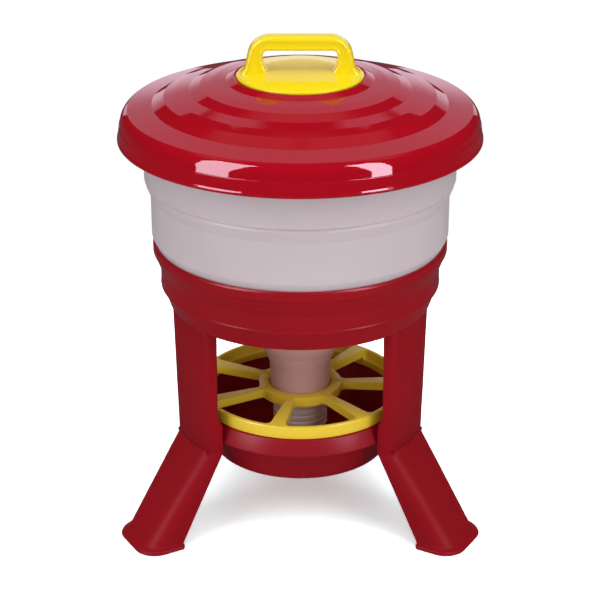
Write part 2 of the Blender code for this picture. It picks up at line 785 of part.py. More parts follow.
def fasteners(steel):
    pieces = []
    collar_head = Matrix.Translation((0, 0, flat(upright_tongue_radius - tongue_wall) - seat_gap))
    places = {f"{leg}_{label}": radial(turn + side * collar_screw_turn, collar_screw_height) @ collar_head
              for leg, turn in leg_turns.items() for label, side in (("a", -1), ("b", 1))}
    pieces += fastened("collar_screw", screw_outline(collar_screw_length), places, steel)
    foot_seat = flat(foot_tongue_radius(foot_screw_height) - tongue_wall)
    foot_head = Matrix.Translation((0, 0, foot_seat - seat_gap))
    places = {leg: radial(turn, foot_screw_height) @ foot_head for leg, turn in leg_turns.items()}
    pieces += fastened("foot_screw", screw_outline(foot_screw_length), places, steel)
    pan_head = shelf_base - seat_gap
    places = {leg: upright_place(turn, pan_screw_distance, pan_head) for leg, turn in leg_turns.items()}
    pieces += fastened("pan_screw", screw_outline(pan_screw_length), places, steel)
    places = {"": Matrix.Translation((0, 0, pan_base - seat_gap))}
    pieces += fastened("cone_screw", screw_outline(cone_screw_length), places, steel)
    places = {label: Matrix.Translation((side * handle_screw_side, 0, handle_screw_base))
              for label, side in (("left", -1), ("right", 1))}
    pieces += fastened("handle_screw", screw_outline(handle_screw_length), places, steel)
    washer = [(screw_hole, 0), (washer_radius, 0), (washer_radius, washer_thickness),
              (screw_hole, washer_thickness)]
    places = {label: Matrix.Translation((side * handle_screw_side, 0, washer_base))
              for label, side in (("left", -1), ("right", 1))}
    pieces += fastened("handle_washer", washer, places, steel)
    return pieces


# Assembly

def build():
    for item in list(bpy.data.objects):
        bpy.data.objects.remove(item)
    lid_red = plastic("lid_red", 178, 15, 31, 0.22)
    stand_red = plastic("stand_red", 148, 19, 31, 0.34)
    pan_red = plastic("pan_red", 144, 20, 31, 0.36)
    yellow = plastic("handle_yellow", 244, 220, 24, 0.3)
    grid_yellow = plastic("grid_yellow", 228, 200, 44, 0.36)
    milky = plastic("tub_milky", 208, 190, 196, 0.4)
    sleeve_milky = plastic("sleeve_milky", 200, 182, 188, 0.4)
    steel = plastic("zinc_steel", 176, 178, 182, 0.35, 1.0)

    pieces = [
        lid_solid(lid_red), handle_solid(yellow), tub_solid(milky), regulator_solid(sleeve_milky),
        collar_solid(stand_red), pan_solid(pan_red), cone_solid(pan_red), grid_solid(grid_yellow),
    ]
    for kind, solid in (("upright", upright_solid(stand_red)), ("foot", foot_solid(stand_red))):
        for place, turn in leg_turns.items():
            leg = bpy.data.objects.new(f"{kind}_{place}", solid.data)
            bpy.context.scene.collection.objects.link(leg)
            leg.rotation_euler.z = turn
            pieces.append(leg)
        bpy.data.objects.remove(solid)
    pieces += fasteners(steel)

    axis = bpy.data.objects.new("feeder_axis", None)
    axis.location.y = feeder_offset
    bpy.context.scene.collection.objects.link(axis)
    for piece in pieces:
        piece.parent = axis


build()
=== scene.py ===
from math import cos, pi, radians, sin, tan, tau

import bmesh
import bpy
from mathutils import Matrix, Vector


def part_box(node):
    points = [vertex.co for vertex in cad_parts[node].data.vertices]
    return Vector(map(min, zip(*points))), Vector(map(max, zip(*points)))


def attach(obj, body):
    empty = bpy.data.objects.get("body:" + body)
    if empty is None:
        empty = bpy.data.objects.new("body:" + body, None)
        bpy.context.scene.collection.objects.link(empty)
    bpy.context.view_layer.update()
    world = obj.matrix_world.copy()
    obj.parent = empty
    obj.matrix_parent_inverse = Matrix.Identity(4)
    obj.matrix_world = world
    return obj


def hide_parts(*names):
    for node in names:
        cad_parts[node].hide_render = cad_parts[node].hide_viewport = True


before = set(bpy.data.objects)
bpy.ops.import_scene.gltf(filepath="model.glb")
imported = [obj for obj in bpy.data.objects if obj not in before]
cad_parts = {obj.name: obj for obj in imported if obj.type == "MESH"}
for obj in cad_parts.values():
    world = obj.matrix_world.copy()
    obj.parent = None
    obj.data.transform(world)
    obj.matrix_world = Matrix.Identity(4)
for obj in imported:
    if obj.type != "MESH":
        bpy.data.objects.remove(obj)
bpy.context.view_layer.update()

# Places read from the frame; the feeder's axis stands a little in front of the origin
boxes = {name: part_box(name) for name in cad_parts}
axisY = 0.5 * (boxes["hopper_tub"][0].y + boxes["hopper_tub"][1].y)
legTurns = {"rear": 0.0, "left": tau / 3, "right": -tau / 3}
dot = 0.001              # the small plane that is drawn together to a pen's first point
touching = 0.000004      # points closer than this are one
narrow = 0.00001         # a sliver's width, and how near in height the points of one ring lie
sameLevel = 0.0001       # places this near in height or depth count as level
roundShare = 0.98        # of a side, the most that its two roundings take up
facing = 0.99            # a normal this near to an axis points along it


# Camera and light

camera = {
    "distance": 2.0,         # in front of the feeder's axis
    "height": 1.1529,
    "pitch": radians(23.859),
    "lens": 109.758,
    "shift": (-0.0003, -0.0016),
    "sight": 60,
}

studio = {
    "frontBoxes": {
        "leftBox": {"turn": radians(-47), "rise": radians(28), "size": (0.98, 1.9), "power": 9.5},
        "rightBox": {"turn": radians(45), "rise": radians(28), "size": (0.84, 1.9), "power": 11.5},
    },
    "shineCards": {          # what gloss alone sees in place of the boxes
        "leftCard": {"turn": radians(-52), "rise": radians(28), "size": (0.7, 1.9), "power": 46},
        "rightCard": {"turn": radians(47.8), "rise": radians(28), "size": (0.42, 1.9), "power": 37},
    },
    "lowBox": {"place": (0.0, -1.9, 0.55), "size": (1.3, 0.5), "power": 2.5},
    "boxDistance": 1.7,
    "shineTint": (1.0, 0.84, 1.0),
    "aimHeight": 0.45,
    "topBox": {"place": (0.0, -0.25, 2.4), "size": (1.8, 1.5), "power": 18},
    "sky": 0.4,              # what matt surfaces get from all around
    "darkSide": 0.02,        # what gloss sees where there is no backdrop
    "highSky": 0.3,
    "highSkySpan": (radians(56), radians(83)),
    "highSkyFade": {"below": (-0.08, 0.04), "above": -0.01},
    "paper": (0.5, 0.43, 0.53, 1),       # the paper behind the feeder as gloss sees it
    "paperLow": (1.1, 0.98, 1.15, 1),    # and near the ground
    "paperLowSpan": (radians(4), radians(17)),
    "paperTop": radians(45),
    "paperHalves": (radians(26), radians(14.8)),      # low down and high up
    "paperNarrows": (radians(24), radians(34)),
    "paperFade": {"side": 0.01, "top": 0.015},
    "floorSize": 24.0,
    "floorDrop": 0.0004,     # keeps the soles clear of the floor's plane
    "floorRoughness": 0.9,
    "floorColour": (0.8, 0.82, 0.82, 1),
    "floorSeen": (2.12, 2.4, 2.42, 1),   # as the camera sees it, up to a white ground
    "floorShine": (0.13, 0.12, 0.14, 1),
    "floorGlow": 0.1,
    "farFloor": (0.45, 1.0),
}


def placeCamera():
    data = bpy.data.cameras.new("photoCamera")
    data.lens = camera["lens"]
    data.shift_x, data.shift_y = camera["shift"]
    data.clip_end = camera["sight"]
    eye = bpy.data.objects.new("photoCamera", data)
    bpy.context.scene.collection.objects.link(eye)
    eye.location = (0, axisY - camera["distance"], camera["height"])
    eye.rotation_euler = (pi / 2 - camera["pitch"], 0, 0)
    bpy.context.scene.camera = eye
    print("camera placed")


# Shader sheets

class Wire:      # a socket that can stand in a sum
    def __init__(self, sheet, socket):
        self.sheet, self.socket = sheet, socket

    def maths(self, operation, *values):
        return self.sheet.add("ShaderNodeMath", {"operation": operation}, dict(enumerate(values)))

    def __add__(self, other): return self.maths("ADD", self, other)
    def __radd__(self, other): return self.maths("ADD", other, self)
    def __sub__(self, other): return self.maths("SUBTRACT", self, other)
    def __rsub__(self, other): return self.maths("SUBTRACT", other, self)
    def __mul__(self, other): return self.maths("MULTIPLY", self, other)
    def __rmul__(self, other): return self.maths("MULTIPLY", other, self)
    def __truediv__(self, other): return self.maths("DIVIDE", self, other)
    def __gt__(self, other): return self.maths("GREATER_THAN", self, other)


class Sheet:     # the nodes of one material or of the world
    def __init__(self, tree):
        self.tree = tree

    def add(self, kind, settings=None, inputs=None, output=0):
        node = self.tree.nodes.new(kind)
        for name, value in (settings or {}).items():
            setattr(node, name, value)
        for name, value in (inputs or {}).items():
            self.join(value, node.inputs[name])
        if isinstance(output, tuple):
            return [Wire(self, node.outputs[name]) for name in output]
        return Wire(self, node.outputs[output])

    def join(self, value, socket):
        if isinstance(value, Wire):
            self.tree.links.new(value.socket, socket)
        else:
            socket.default_value = value

    def blend(self, share, low, high):
        return self.add("ShaderNodeMix", {"data_type": "RGBA"}, {0: share, 6: low, 7: high}, 2)

    def noise(self, where, scale, detail=3.0):
        return self.add("ShaderNodeTexNoise", {}, {"Vector": where, "Scale": scale, "Detail": detail})

    def between(self, value, low, high):
        return self.add("ShaderNodeMapRange", {"interpolation_type": "SMOOTHSTEP"},
                        {0: value, 1: low, 2: high})

    def stretched(self, where, *scale):
        return self.add("ShaderNodeMapping", {}, {"Vector": where, "Scale": scale})


def srgb(red, green, blue):      # display values from 0 to 255
    shares = [channel / 255 for channel in (red, green, blue)]
    return tuple(s / 12.92 if s <= 0.04045 else ((s + 0.055) / 1.055) ** 2.4 for s in shares) + (1,)


def grey(level):
    return (level, level, level, 1)


def newMaterial(name):
    material = bpy.data.materials.new(name)
    material.use_nodes = True
    return material, Sheet(material.node_tree), material.node_tree.nodes["Principled BSDF"]


def lightWorld():
    world = bpy.data.worlds.new("studio")
    bpy.context.scene.world = world
    world.use_nodes = True
    sheet = Sheet(world.node_tree)
    cameraRay, glossyRay, throughRay = sheet.add(
        "ShaderNodeLightPath", output=("Is Camera Ray", "Is Glossy Ray", "Is Transmission Ray"))
    heading = sheet.add("ShaderNodeTexCoord", output="Generated")
    aside, behind, up = sheet.add("ShaderNodeSeparateXYZ", {}, {0: heading}, (0, 1, 2))
    top, fade = sin(studio["paperTop"]), studio["paperFade"]
    wide, narrow = (tan(angle) for angle in studio["paperHalves"])
    half = wide - (wide - narrow) * sheet.between(up, *(sin(angle) for angle in studio["paperNarrows"]))
    highFrom, highTo = (sin(angle) for angle in studio["highSkySpan"])
    beyond = aside.maths("ABSOLUTE", aside) / behind - half
    inWidth = 1 - sheet.between(beyond, -fade["side"], fade["side"])
    inHeight = 1 - sheet.between(up, top - fade["top"], top + fade["top"])
    backdrop = inHeight * inWidth * (behind > 0.0)
    below, above = studio["highSkyFade"]["below"], studio["highSkyFade"]["above"]
    band = sheet.between(up, highFrom + below[0], highFrom + below[1])
    band = band * (1 - sheet.between(up, highTo + above, highTo))
    around = sheet.blend(band * (behind > 0.0), grey(studio["darkSide"]), grey(studio["highSky"]))
    lowDown = 1 - sheet.between(up, *(sin(angle) for angle in studio["paperLowSpan"]))
    paper = sheet.blend(lowDown, studio["paper"], studio["paperLow"])
    gloss = sheet.blend(backdrop, around, paper)
    lit = sheet.blend(glossyRay, grey(studio["sky"]), gloss)
    shown = sheet.blend(cameraRay + throughRay, lit, grey(1.0))
    sheet.join(shown, sheet.tree.nodes["Background"].inputs["Color"])


def hangLamp(name, place, size, power, aim):
    data = bpy.data.lights.new(name, "AREA")
    data.shape = "RECTANGLE"
    data.size, data.size_y = size
    data.energy = power
    lamp = bpy.data.objects.new(name, data)
    bpy.context.scene.collection.objects.link(lamp)
    lamp.location = place
    lamp.rotation_euler = (aim - place).to_track_quat("-Z", "Y").to_euler()
    return lamp


def lightStudio():
    lightWorld()
    aim = Vector((0, axisY, studio["aimHeight"]))
    for name, box in (studio["frontBoxes"] | studio["shineCards"]).items():
        level = cos(box["rise"]) * studio["boxDistance"]
        reach = Vector((sin(box["turn"]) * level, -cos(box["turn"]) * level,
                        sin(box["rise"]) * studio["boxDistance"]))
        lamp = hangLamp(name, aim + reach, box["size"], box["power"], aim)
        if name in studio["shineCards"]:
            lamp.visible_diffuse = False
            lamp.data.color = studio["shineTint"]
        else:
            lamp.visible_glossy = False
    for name in ("topBox", "lowBox"):
        box = studio[name]
        soft = hangLamp(name, Vector(box["place"]), box["size"], box["power"], aim)
        soft.visible_glossy = False
    print("studio lit")


def layFloor():
    bpy.ops.mesh.primitive_plane_add(size=studio["floorSize"], location=(0, 0, -studio["floorDrop"]))
    floor = bpy.context.object
    floor.name = "studioFloor"
    material, sheet, shader = newMaterial("studioPaper")
    cameraRay, glossyRay = sheet.add("ShaderNodeLightPath", output=("Is Camera Ray", "Is Glossy Ray"))
    seen = sheet.blend(cameraRay, studio["floorColour"], studio["floorSeen"])
    sheet.join(sheet.blend(glossyRay, seen, studio["floorShine"]), shader.inputs["Base Color"])
    sheet.join(studio["floorRoughness"], shader.inputs["Roughness"])
    sheet.join(0.0, shader.inputs["Specular IOR Level"])
    place = sheet.add("ShaderNodeTexCoord", output="Object")
    away = sheet.add("ShaderNodeVectorMath", {"operation": "LENGTH"}, {0: place}, "Value")
    far = sheet.between(away, *studio["farFloor"])
    glow = sheet.add("ShaderNodeEmission", {},
                     {"Color": grey(1.0), "Strength": studio["floorGlow"] * cameraRay})
    white = sheet.add("ShaderNodeEmission", {}, {"Color": grey(1.0), "Strength": 1.0})
    near = sheet.add("ShaderNodeAddShader", {}, {0: Wire(sheet, shader.outputs[0]), 1: glow})
    mixed = sheet.add("ShaderNodeMixShader", {}, {0: far * cameraRay, 1: near, 2: white})
    sheet.join(mixed, sheet.tree.nodes["Material Output"].inputs["Surface"])
    floor.data.materials.append(material)
    print("floor laid")


# Moulded plastics and plated steel

plastics = {
    "lidRed": {"colour": srgb(165, 10, 27), "deep": srgb(157, 7, 23),
               "roughness": 0.035, "grain": 0.006, "marks": 0.03, "shine": 0.5},
    "collarRed": {"colour": srgb(155, 12, 26), "deep": srgb(142, 9, 21),
                  "roughness": 0.22, "grain": 0.08, "marks": 0.06, "shine": 0.19},
    "legRed": {"colour": srgb(148, 13, 26), "deep": srgb(133, 9, 21),
               "roughness": 0.4, "grain": 0.08, "marks": 0.06, "shine": 0.06},
    "panRed": {"colour": srgb(150, 14, 28), "deep": srgb(130, 10, 21),
               "roughness": 0.32, "grain": 0.08, "marks": 0.06, "shine": 0.13},
    "capYellow": {"colour": srgb(240, 217, 28), "deep": srgb(234, 205, 20),
                  "roughness": 0.12, "grain": 0.02, "marks": 0.05, "shine": 0.4},
    "gridYellow": {"colour": srgb(247, 211, 62), "deep": srgb(239, 195, 48),
                   "roughness": 0.24, "grain": 0.08, "marks": 0.06, "shine": 0.35},
    # the tub's warm red colour low down is painted bounce light from the red pan and yellow grid
    "milkyTub": {"colour": srgb(210, 194, 199), "deep": srgb(203, 185, 191),
                 "roughness": 0.4, "grain": 0.08, "marks": 0.06, "shine": 0.3,
                 "milk": 0.25, "dust": srgb(222, 140, 122)},
    "milkySleeve": {"colour": srgb(252, 226, 214), "deep": srgb(244, 214, 200),
                    "roughness": 0.34, "grain": 0.08, "marks": 0.05, "shine": 0.35, "milk": 0.2},
}

moulding = {
    "cloud": {"scale": 7.0, "span": (0.35, 0.68), "share": 0.45},      # uneven colouring of the melt
    "speck": {"scale": 420.0, "span": (0.66, 0.74), "share": 0.18},    # specks of pigment
    "flow": (6, 6, 90),                                                # flow marks round the piece
    "scuff": {"stretch": (60, 60, 900), "span": (0.66, 0.8), "share": 0.05},
    "grainScale": 1100.0,
    "uneven": {"cloud": 0.15, "flow": 0.1},                            # of the roughness
    "film": {"heights": (0.22, 0.28), "least": 0.55, "cloud": 0.25},   # painted red bounce light below the funnel
    "bump": {"Strength": 0.25, "Distance": 0.0004},
    "milkReach": (0.012, 0.007, 0.006),
}

zinc = {
    "bright": srgb(188, 190, 196), "dull": srgb(150, 150, 142),
    "cloudScale": 300.0, "pits": {"scale": 1500.0, "span": (0.6, 0.75)},
    "roughness": 0.22, "uneven": 0.15,
    "bump": {"Strength": 0.3, "Distance": 0.0002},
}


def axisPlace(sheet):      # object coordinates counted from the feeder's axis
    place = sheet.add("ShaderNodeTexCoord", output="Object")
    return sheet.add("ShaderNodeMapping", {}, {"Vector": place, "Location": (0, -axisY, 0)})


def mouldedPlastic(name):
    look, cast = plastics[name], moulding
    material, sheet, shader = newMaterial(name)
    place = axisPlace(sheet)
    cloud = sheet.between(sheet.noise(place, cast["cloud"]["scale"], 4), *cast["cloud"]["span"])
    speck = sheet.between(sheet.noise(place, cast["speck"]["scale"], 2), *cast["speck"]["span"])
    flow = sheet.noise(sheet.stretched(place, *cast["flow"]), 1.0, 3)
    scratches = sheet.noise(sheet.stretched(place, *cast["scuff"]["stretch"]), 1.0, 2)
    scuff = sheet.between(scratches, *cast["scuff"]["span"])
    tint = sheet.blend(cloud * cast["cloud"]["share"], look["colour"], look["deep"])
    tint = sheet.blend(speck * cast["speck"]["share"], tint, look["deep"])
    # painted bounce light: the tub turns warm red towards the bottom, below the funnel
    if "dust" in look:
        height = sheet.add("ShaderNodeSeparateXYZ", {}, {0: place}, 2)
        film = 1 - sheet.between(height, *cast["film"]["heights"])
        tint = sheet.blend(film * (cast["film"]["least"] + cloud * cast["film"]["cloud"]), tint, look["dust"])
    sheet.join(tint, shader.inputs["Base Color"])
    uneven = 1 + cloud * cast["uneven"]["cloud"] + flow * cast["uneven"]["flow"]
    sheet.join(look["roughness"] * uneven + scuff * cast["scuff"]["share"], shader.inputs["Roughness"])
    relief = sheet.noise(place, cast["grainScale"], 2) * look["grain"] + flow * look["marks"]
    bump = sheet.add("ShaderNodeBump", {}, cast["bump"] | {"Height": relief})
    sheet.join(bump, shader.inputs["Normal"])
    sheet.join(look["shine"], shader.inputs["Specular IOR Level"])
    if "milk" in look:
        sheet.join(look["milk"], shader.inputs["Subsurface Weight"])
        sheet.join(cast["milkReach"], shader.inputs["Subsurface Radius"])
        sheet.join(1.0, shader.inputs["Subsurface Scale"])
    return material


def platedSteel():
    material, sheet, shader = newMaterial("zincPlate")
    place = axisPlace(sheet)
    cloud = sheet.noise(place, zinc["cloudScale"], 3)
    pits = sheet.between(sheet.noise(place, zinc["pits"]["scale"], 2), *zinc["pits"]["span"])
    sheet.join(sheet.blend(cloud, zinc["bright"], zinc["dull"]), shader.inputs["Base Color"])
    sheet.join(1.0, shader.inputs["Metallic"])
    sheet.join(zinc["roughness"] + cloud * zinc["uneven"] + pits * zinc["uneven"], shader.inputs["Roughness"])
    bump = sheet.add("ShaderNodeBump", {}, zinc["bump"] | {"Height": cloud - pits})
    sheet.join(bump, shader.inputs["Normal"])
    return material


# Modelling tools

def deselect():
    bpy.ops.object.select_all(action="DESELECT")


def takeUp(piece):
    deselect()
    piece.select_set(True)
    bpy.context.view_layer.objects.active = piece


def startDrawing(name, place):      # a plane drawn together to its middle is the pen's first point
    deselect()
    bpy.ops.mesh.primitive_plane_add(size=dot, location=place)
    piece = bpy.context.object
    piece.name = piece.data.name = name
    bpy.ops.object.mode_set(mode="EDIT")
    bpy.ops.mesh.select_mode(type="VERT")
    bpy.ops.mesh.merge(type="CENTER")
    return piece


def drawTo(here, there):
    bpy.ops.mesh.extrude_region_move(TRANSFORM_OT_translate={"value": there - here})


def endDrawing(piece, closedShape=True):
    bpy.ops.mesh.select_all(action="SELECT")
    bpy.ops.mesh.remove_doubles(threshold=touching)
    if closedShape:
        bpy.ops.mesh.normals_make_consistent(inside=False)
    bpy.ops.object.mode_set(mode="OBJECT")
    bpy.ops.object.transform_apply(location=True, rotation=True, scale=True)
    return piece


def selectWhere(piece, test):      # picks the points whose place passes the test
    bpy.ops.mesh.select_all(action="DESELECT")
    shape = bmesh.from_edit_mesh(piece.data)
    for point in shape.verts:
        point.select = test(piece.matrix_world @ point.co)
    shape.select_flush(True)
    bmesh.update_edit_mesh(piece.data)


def selectEdges(piece, test):      # the test gets the two ends of an edge
    bpy.ops.mesh.select_all(action="DESELECT")
    bpy.ops.mesh.select_mode(type="EDGE")
    shape = bmesh.from_edit_mesh(piece.data)
    for edge in shape.edges:
        edge.select_set(test(*(point.co for point in edge.verts)))
    bmesh.update_edit_mesh(piece.data)


def selectFaces(piece, test):
    bpy.ops.mesh.select_all(action="DESELECT")
    bpy.ops.mesh.select_mode(type="FACE")
    shape = bmesh.from_edit_mesh(piece.data)
    for face in shape.faces:
        face.select_set(test(face))
    bmesh.update_edit_mesh(piece.data)


def finishWith(piece, kind, **settings):
    takeUp(piece)
    bpy.ops.object.modifier_add(type=kind)
    step = piece.modifiers[-1]
    for name, value in settings.items():
        setattr(step, name, value)
    bpy.ops.object.modifier_apply(modifier=step.name)


def clearSlivers(piece, width=narrow):
    # thin leftovers of a cut are drawn together, and faces that lie on each other go
    takeUp(piece)
    bpy.ops.object.mode_set(mode="EDIT")
    bpy.ops.mesh.select_mode(type="VERT")
    bpy.ops.mesh.select_all(action="SELECT")
    bpy.ops.mesh.remove_doubles(threshold=width)
    bpy.ops.mesh.dissolve_degenerate(threshold=width)
    bpy.ops.mesh.select_mode(type="FACE")
    bpy.ops.mesh.select_face_by_sides(number=4, type="GREATER", extend=False)
    bpy.ops.mesh.quads_convert_to_tris()
    bpy.ops.mesh.select_all(action="DESELECT")
    shape = bmesh.from_edit_mesh(piece.data)
    seen = {}
    for face in shape.faces:
        seen.setdefault(frozenset(point.index for point in face.verts), []).append(face)
    for faces in seen.values():
        for face in faces if len(faces) > 1 else ():
            face.select_set(True)
    bmesh.update_edit_mesh(piece.data)
    bpy.ops.mesh.delete(type="FACE")
    bpy.ops.mesh.select_mode(type="VERT")
    bpy.ops.object.mode_set(mode="OBJECT")


def fuse(piece, tool, operation="UNION"):
    finishWith(piece, "BOOLEAN", operation=operation, object=tool, solver="EXACT")
    bpy.data.objects.remove(tool)
    clearSlivers(piece)


def roundEdges(piece, width, segments=3, limit=radians(35)):
    finishWith(piece, "BEVEL", width=width, segments=segments, limit_method="ANGLE", angle_limit=limit,
               use_clamp_overlap=True, harden_normals=False)


def smooth(piece, limit=radians(32)):
    takeUp(piece)
    bpy.ops.object.shade_smooth_by_angle(angle=limit)


def dress(piece, material, body, *nodes):
    piece.data.materials.clear()
    piece.data.materials.append(material)
    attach(piece, body)
    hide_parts(*nodes)


def softened(points, arcSteps=5):
    # a run of (x, y, radius) with its corners rounded; neighbours share a side by their radii
    run = []
    for k, (x, y, radius) in enumerate(points):
        corner = Vector((x, y))
        if radius == 0 or k in (0, len(points) - 1):
            run.append(corner)
            continue
        sides = []
        for other in (points[k - 1], points[k + 1]):
            side = Vector(other[:2]) - corner
            sides.append((side.normalized(), roundShare * side.length * radius / (radius + other[2])))
        (back, backRoom), (ahead, aheadRoom) = sides
        half = 0.5 * back.angle(ahead)
        reach = min(radius / tan(half), backRoom, aheadRoom)
        arc = reach * tan(half)
        centre = corner + (back + ahead).normalized() * (arc / sin(half))
        start = corner + back * reach - centre
        sweep = start.angle_signed(corner + ahead * reach - centre)
        run += [centre + start @ Matrix.Rotation(sweep * step / arcSteps, 2) for step in range(arcSteps + 1)]
    return run


def beside(points, wall):      # the same run moved to its right by the wall, for the inside of a shell
    moved = []
    for k, (x, y, radius) in enumerate(points):
        sides = []
        for a, b in ((k - 1, k), (k, k + 1)):
            if a >= 0 and b < len(points):
                run = Vector(points[b][:2]) - Vector(points[a][:2])
                sides.append(Vector((run.y, -run.x)).normalized())
        middle = sum(sides, Vector((0, 0))).normalized()
        place = Vector((x, y)) + middle * (wall / middle.dot(sides[0]))
        moved.append((place.x, place.y, radius))
    return moved


def spun(name, run, steps=160, closed=True):
    # draws the run in the plane of the axis and spins it round
    places = [Vector((p.x, axisY, p.y)) for p in run]
    piece = startDrawing(name, places[0])
    for here, there in zip(places, places[1:] + places[:1] if closed else places[1:]):
        drawTo(here, there)
    bpy.ops.mesh.select_all(action="SELECT")
    bpy.ops.mesh.spin(steps=steps, angle=tau, center=(0, axisY, 0), axis=(0, 0, 1))
    return endDrawing(piece)


def bridged(name, chains):
    # lays a skin over level chains of points, from the lowest up
    piece = None
    for chain in chains:
        if piece is None:
            piece = startDrawing(name, chain[0])
        else:
            bpy.ops.mesh.select_all(action="DESELECT")
            bpy.ops.mesh.primitive_plane_add(size=dot, location=chain[0])
            bpy.ops.mesh.merge(type="CENTER")
        for here, there in zip(chain, chain[1:]):
            drawTo(here, there)
    for low, high in zip(chains, chains[1:]):
        levels = (low[0].z, high[0].z)
        selectWhere(piece, lambda place: min(abs(place.z - level) for level in levels) < narrow)
        bpy.ops.mesh.bridge_edge_loops()
    return endDrawing(piece, closedShape=False)


def faceAway(piece, middle):      # turns the skin over if it faces its own middle
    faces = piece.data.polygons
    if sum((middle(face.center) - face.center).dot(face.normal) * face.area for face in faces) > 0:
        takeUp(piece)
        bpy.ops.object.mode_set(mode="EDIT")
        bpy.ops.mesh.select_all(action="SELECT")
        bpy.ops.mesh.flip_normals()
        bpy.ops.object.mode_set(mode="OBJECT")


def slab(name, run, low, high):
    # a closed outline filled and pulled up
    places = [Vector((p.x, p.y + axisY, low)) for p in run]
    piece = startDrawing(name, places[0])
    for here, there in zip(places, places[1:] + places[:1]):
        drawTo(here, there)
    bpy.ops.mesh.select_all(action="SELECT")
    bpy.ops.mesh.remove_doubles(threshold=touching)
    bpy.ops.mesh.edge_face_add()
    bpy.ops.mesh.extrude_region_move(TRANSFORM_OT_translate={"value": (0, 0, high - low)})
    return endDrawing(piece)


def turnedCopy(piece, name, turn):
    # a copy with its own mesh, turned about the feeder's axis
    twin = piece.copy()
    twin.data = piece.data.copy()
    twin.name = twin.data.name = name
    bpy.context.scene.collection.objects.link(twin)
    middle = Matrix.Translation((0, axisY, 0))
    twin.data.transform(middle @ Matrix.Rotation(turn, 4, "Z") @ middle.inverted())
    return twin


# Lid

lid = {
    "wall": 0.0024,
    # distance from the axis, height above the rim and rounding, from the rim's bead up
    "outline": [(0.2092, 0.0, 0.0006), (0.2098, 0.0007, 0.0006), (0.2098, 0.0031, 0.0008),
                (0.2088, 0.0046, 0.0008), (0.2074, 0.0173, 0.0005), (0.2066, 0.0180, 0.0005),
                (0.2052, 0.0262, 0.016), (0.2015, 0.0322, 0.014), (0.1974, 0.0354, 0.0016),
                (0.1692, 0.0406, 0.0014), (0.1555, 0.0491, 0.0014), (0.1430, 0.0527, 0.04),
                (0.1272, 0.0567, 0.0014), (0.1140, 0.0620, 0.0014), (0.1000, 0.0649, 0.04),
                (0.0846, 0.0669, 0.0014), (0.0752, 0.0718, 0.001), (0.0745, 0.0698, 0.0005)],
    "innerRim": 0.0006, "innerCrown": 0.001,      # roundings
    "plainFrom": 5,      # the inside starts from this corner, without the bead
    "ring": {"outside": 0.1774, "wall": 0.002, "top": 0.0383, "depth": 0.0138},
    "steps": 192,
}


def makeLid(material):
    base = boxes["lid_shell"][0].z
    outer = [(x, base + y, r) for x, y, r in lid["outline"]]
    crown = outer[-1][1]
    outer.append((0.0, crown, 0))
    inner = [(outer[0][0] - lid["wall"], base, lid["innerRim"])]
    inner += beside(outer[lid["plainFrom"]:], -lid["wall"])
    inner[-1] = (0.0, crown - lid["wall"], 0)
    inner[-2] = (inner[-2][0], crown - lid["wall"], lid["innerCrown"])
    shell = spun("lidShell", softened(outer[::-1] + inner), lid["steps"], closed=False)
    ring = lid["ring"]
    top = base + ring["top"]
    low = top - ring["depth"]
    out, wall = ring["outside"], ring["wall"]
    run = [(out, low, 0), (out, top, 0), (out - wall, top, 0), (out - wall, low, 0)]
    fuse(shell, spun("lidRing", softened(run), lid["steps"]))
    smooth(shell)
    dress(shell, material, "lid", "lid_shell")
    print("lid made")


# Grip

grip = {
    # distance from the axis, height above the seat and rounding
    "cap": [(0, 0, 0), (0.0725, 0, 0.0003), (0.0725, 0.0020, 0.0010), (0.0703, 0.0036, 0.002),
            (0.046, 0.0064, 0.03), (0, 0.0078, 0)],
    # half of the grip's outline and of its window: across, up and rounding
    "bar": [(0.0705, 0.0010, 0), (0.0630, 0.0105, 0.014), (0.0545, 0.0477, 0.025)],
    "window": [(0.0418, 0.0316, 0.009), (0.0425, 0.0150, 0.02), (0.0330, 0.0010, 0)],
    "depth": 0.021, "outerEdge": 0.0046, "windowEdge": 0.0028, "edgeSteps": 5,
    "windowMargin": (0.003, 0.001),      # round the window's corners, to tell its edges from the others
    "panelArea": 0.0005, "panelRim": 0.0007, "panelDepth": 0.0004,
    "capSteps": 128, "capArc": 6, "barArc": 8,
}


def mirrored(points):
    return [(-x, y, r) for x, y, r in points]


def inFlatSide(a, b, front):      # the edge lies in one of the bar's two flat sides
    depths = (abs(a.y - front), abs(a.y - front - grip["depth"]))
    return abs(a.y - b.y) < sameLevel and min(depths) < sameLevel


